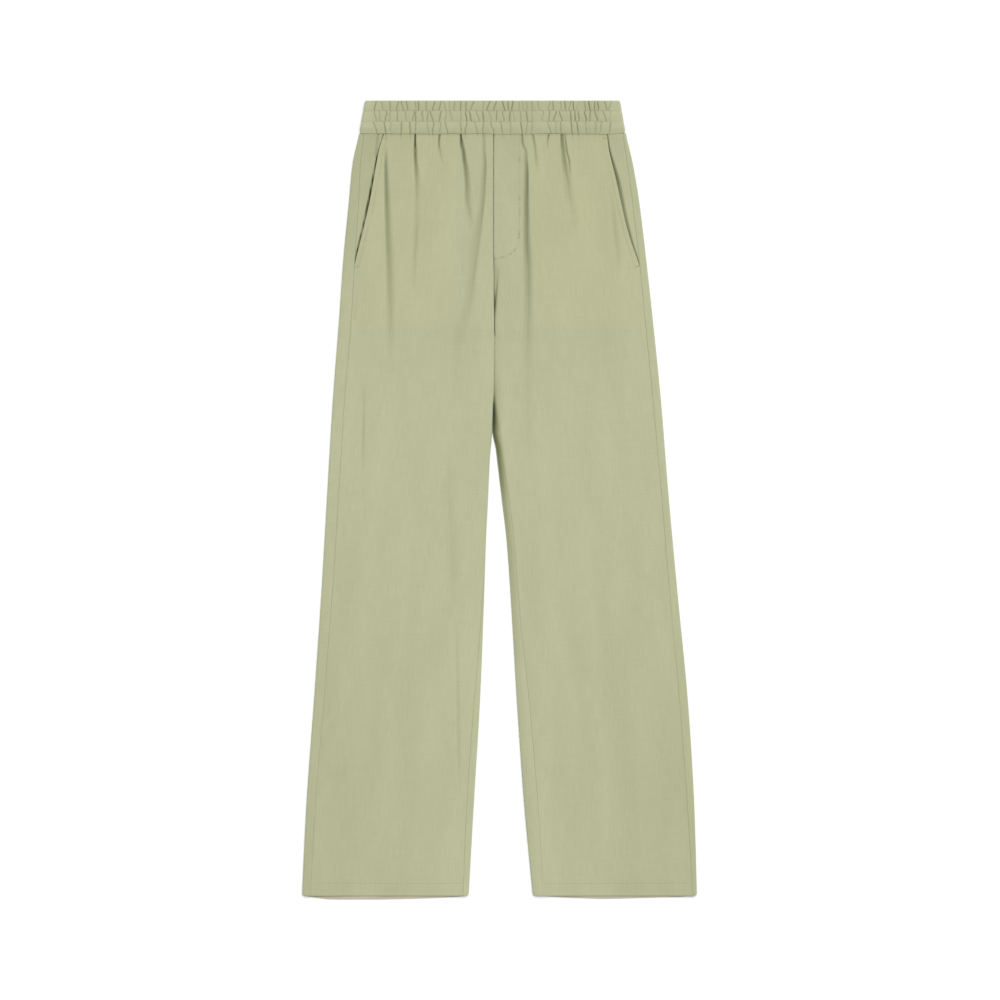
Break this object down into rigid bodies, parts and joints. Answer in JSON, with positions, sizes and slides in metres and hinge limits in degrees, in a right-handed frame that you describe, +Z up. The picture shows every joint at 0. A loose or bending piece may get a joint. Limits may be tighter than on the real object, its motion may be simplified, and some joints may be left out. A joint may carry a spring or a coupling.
{
  "type": "wide-leg elastic waist trousers, laid flat",
  "caption": "Wide-leg trousers lying flat and face up: a gathered elastic waistband, slanted hip pockets, a stitched mock fly, soft folds from the waist and straight turned hems.",
  "frame": {"origin": "middle of the footprint, on the surface that the garment lies on", "axes": "+Z up off the surface, +Y towards the waist, +X to the right of someone looking down on the front"},
  "size_m": [0.5154, 1.0426, 0.0082],
  "materials": {
    "linen": "matt plain-weave linen in pale sage green"
  },
  "bodies": {
    "root": {"waistband": "linen", "front_left": "linen", "front_right": "linen", "back_left": "linen", "back_right": "linen", "pocket_left": "linen", "pocket_right": "linen"}
  },
  "joints": []
}
